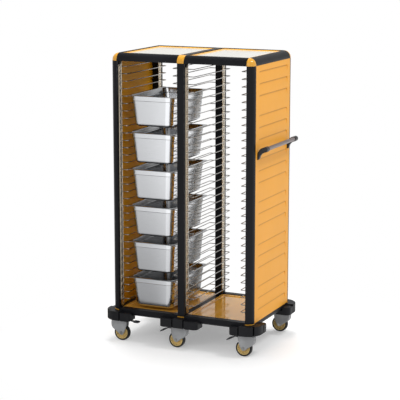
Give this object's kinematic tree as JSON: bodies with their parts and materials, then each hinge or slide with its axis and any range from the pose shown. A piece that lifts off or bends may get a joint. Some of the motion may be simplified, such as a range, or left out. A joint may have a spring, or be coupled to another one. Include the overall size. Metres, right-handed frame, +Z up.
{
  "type": "enclosed meal tray cart",
  "caption": "Tall rack cart on swivel casters with closed sides, roof and floor, two open bays of wire runners, deep steel food containers and a side push bar.",
  "frame": {"origin": "on the floor, under the middle of the cart's outline", "axes": "+Z up, +Y towards the back, +X along the front to the side with the push bar"},
  "size_m": [1.0786, 0.75, 1.84],
  "materials": {
    "black_aluminium": "satin",
    "yellow_fitting": "gloss",
    "yellow_panel": "gloss",
    "strip_steel": "satin",
    "runner_wire": "polished",
    "container_steel": "brushed",
    "black_bumper": "matt",
    "black_bracket": "matt",
    "grey_tube": "satin",
    "grey_fork": "satin",
    "wheel_tread": "matt",
    "black_pedal": "matt"
  },
  "bodies": {
    "frame": {"post_front_left": "black_aluminium", "post_front_middle": "black_aluminium", "post_front_right": "black_aluminium", "post_rear_left": "black_aluminium", "post_rear_middle": "black_aluminium", "post_rear_right": "black_aluminium", "top_beams_front": "black_aluminium", "top_beams_rear": "black_aluminium", "top_beam_left": "black_aluminium", "top_beam_right": "black_aluminium", "top_beam_middle": "black_aluminium", "bottom_beams_front": "black_aluminium", "bottom_beams_rear": "black_aluminium", "bottom_beam_left": "black_aluminium", "bottom_beam_right": "black_aluminium", "bottom_beam_middle": "black_aluminium", "corner_caps": "yellow_fitting", "middle_caps": "yellow_fitting", "foot_rings": "yellow_fitting", "side_panel_left": "yellow_panel", "side_panel_right": "yellow_panel", "roof_panel_left": "yellow_panel", "roof_panel_right": "yellow_panel", "floor_pan_left": "yellow_panel", "floor_pan_right": "yellow_panel", "rack_strips": "strip_steel", "runners_left_bay_outer": "runner_wire", "runners_left_bay_inner": "runner_wire", "runners_right_bay_inner": "runner_wire", "runners_right_bay_outer": "runner_wire", "bumper_front_left": "black_bumper", "bumper_front_middle": "black_bumper", "bumper_front_right": "black_bumper", "bumper_rear_left": "black_bumper", "bumper_rear_middle": "black_bumper", "bumper_rear_right": "black_bumper", "handle_bracket_front": "black_bracket", "handle_bracket_rear": "black_bracket", "handle_bar": "grey_tube"},
    "swivel_front_left": {"caster_fork_front_left": "grey_fork"},
    "wheel_front_left": {"caster_wheel_front_left": "wheel_tread"},
    "pedal_front_left": {"brake_pedal_front_left": "black_pedal"},
    "swivel_front_middle": {"caster_fork_front_middle": "grey_fork"},
    "wheel_front_middle": {"caster_wheel_front_middle": "wheel_tread"},
    "pedal_front_middle": {"brake_pedal_front_middle": "black_pedal"},
    "swivel_front_right": {"caster_fork_front_right": "grey_fork"},
    "wheel_front_right": {"caster_wheel_front_right": "wheel_tread"},
    "pedal_front_right": {"brake_pedal_front_right": "black_pedal"},
    "swivel_rear_left": {"caster_fork_rear_left": "grey_fork"},
    "wheel_rear_left": {"caster_wheel_rear_left": "wheel_tread"},
    "swivel_rear_middle": {"caster_fork_rear_middle": "grey_fork"},
    "wheel_rear_middle": {"caster_wheel_rear_middle": "wheel_tread"},
    "swivel_rear_right": {"caster_fork_rear_right": "grey_fork"},
    "wheel_rear_right": {"caster_wheel_rear_right": "wheel_tread"},
    "container_1_body": {"container_1": "container_steel"},
    "container_2_body": {"container_2": "container_steel"},
    "container_3_body": {"container_3": "container_steel"},
    "container_4_body": {"container_4": "container_steel"},
    "container_5_body": {"container_5": "container_steel"},
    "container_6_body": {"container_6": "container_steel"}
  },
  "joints": [
    {"name": "swivel_front_left_turn", "type": "hinge", "parent": "frame", "child": "swivel_front_left", "pos_m": [-0.46675, -0.3025, 0.143], "axis": [0, 0, 1], "continuous": true},
    {"name": "wheel_front_left_roll", "type": "hinge", "parent": "swivel_front_left", "child": "wheel_front_left", "pos_m": [-0.43175, -0.3025, 0.0525], "axis": [0, 1, 0], "continuous": true},
    {"name": "pedal_front_left_press", "type": "hinge", "parent": "swivel_front_left", "child": "pedal_front_left", "pos_m": [-0.40675, -0.3025, 0.124], "axis": [0, 1, 0], "range_deg": [0, 36]},
    {"name": "swivel_front_middle_turn", "type": "hinge", "parent": "frame", "child": "swivel_front_middle", "pos_m": [-0.00925, -0.3025, 0.143], "axis": [0, 0, 1], "continuous": true},
    {"name": "wheel_front_middle_roll", "type": "hinge", "parent": "swivel_front_middle", "child": "wheel_front_middle", "pos_m": [-0.04425, -0.3025, 0.0525], "axis": [0, 1, 0], "continuous": true},
    {"name": "pedal_front_middle_press", "type": "hinge", "parent": "swivel_front_middle", "child": "pedal_front_middle", "pos_m": [-0.06925, -0.3025, 0.124], "axis": [0, -1, 0], "range_deg": [0, 14]},
    {"name": "swivel_front_right_turn", "type": "hinge", "parent": "frame", "child": "swivel_front_right", "pos_m": [0.44825, -0.3025, 0.143], "axis": [0, 0, 1], "continuous": true},
    {"name": "wheel_front_right_roll", "type": "hinge", "parent": "swivel_front_right", "child": "wheel_front_right", "pos_m": [0.41325, -0.3025, 0.0525], "axis": [0, 1, 0], "continuous": true},
    {"name": "pedal_front_right_press", "type": "hinge", "parent": "swivel_front_right", "child": "pedal_front_right", "pos_m": [0.38825, -0.3025, 0.124], "axis": [0, -1, 0], "range_deg": [0, 14]},
    {"name": "swivel_rear_left_turn", "type": "hinge", "parent": "frame", "child": "swivel_rear_left", "pos_m": [-0.46675, 0.3025, 0.143], "axis": [0, 0, 1], "continuous": true},
    {"name": "wheel_rear_left_roll", "type": "hinge", "parent": "swivel_rear_left", "child": "wheel_rear_left", "pos_m": [-0.43175, 0.3025, 0.0525], "axis": [0, 1, 0], "continuous": true},
    {"name": "swivel_rear_middle_turn", "type": "hinge", "parent": "frame", "child": "swivel_rear_middle", "pos_m": [-0.00925, 0.3025, 0.143], "axis": [0, 0, 1], "continuous": true},
    {"name": "wheel_rear_middle_roll", "type": "hinge", "parent": "swivel_rear_middle", "child": "wheel_rear_middle", "pos_m": [-0.04425, 0.3025, 0.0525], "axis": [0, 1, 0], "continuous": true},
    {"name": "swivel_rear_right_turn", "type": "hinge", "parent": "frame", "child": "swivel_rear_right", "pos_m": [0.44825, 0.3025, 0.143], "axis": [0, 0, 1], "continuous": true},
    {"name": "wheel_rear_right_roll", "type": "hinge", "parent": "swivel_rear_right", "child": "wheel_rear_right", "pos_m": [0.41325, 0.3025, 0.0525], "axis": [0, 1, 0], "continuous": true},
    {"name": "container_1_slide", "type": "slide", "parent": "frame", "child": "container_1_body", "axis": [0, -1, 0], "range_m": [0, 0.62]},
    {"name": "container_2_slide", "type": "slide", "parent": "frame", "child": "container_2_body", "axis": [0, -1, 0], "range_m": [0, 0.62]},
    {"name": "container_3_slide", "type": "slide", "parent": "frame", "child": "container_3_body", "axis": [0, -1, 0], "range_m": [0, 0.62]},
    {"name": "container_4_slide", "type": "slide", "parent": "frame", "child": "container_4_body", "axis": [0, -1, 0], "range_m": [0, 0.62]},
    {"name": "container_5_slide", "type": "slide", "parent": "frame", "child": "container_5_body", "axis": [0, -1, 0], "range_m": [0, 0.62]},
    {"name": "container_6_slide", "type": "slide", "parent": "frame", "child": "container_6_body", "axis": [0, -1, 0], "range_m": [0, 0.62]}
  ]
}
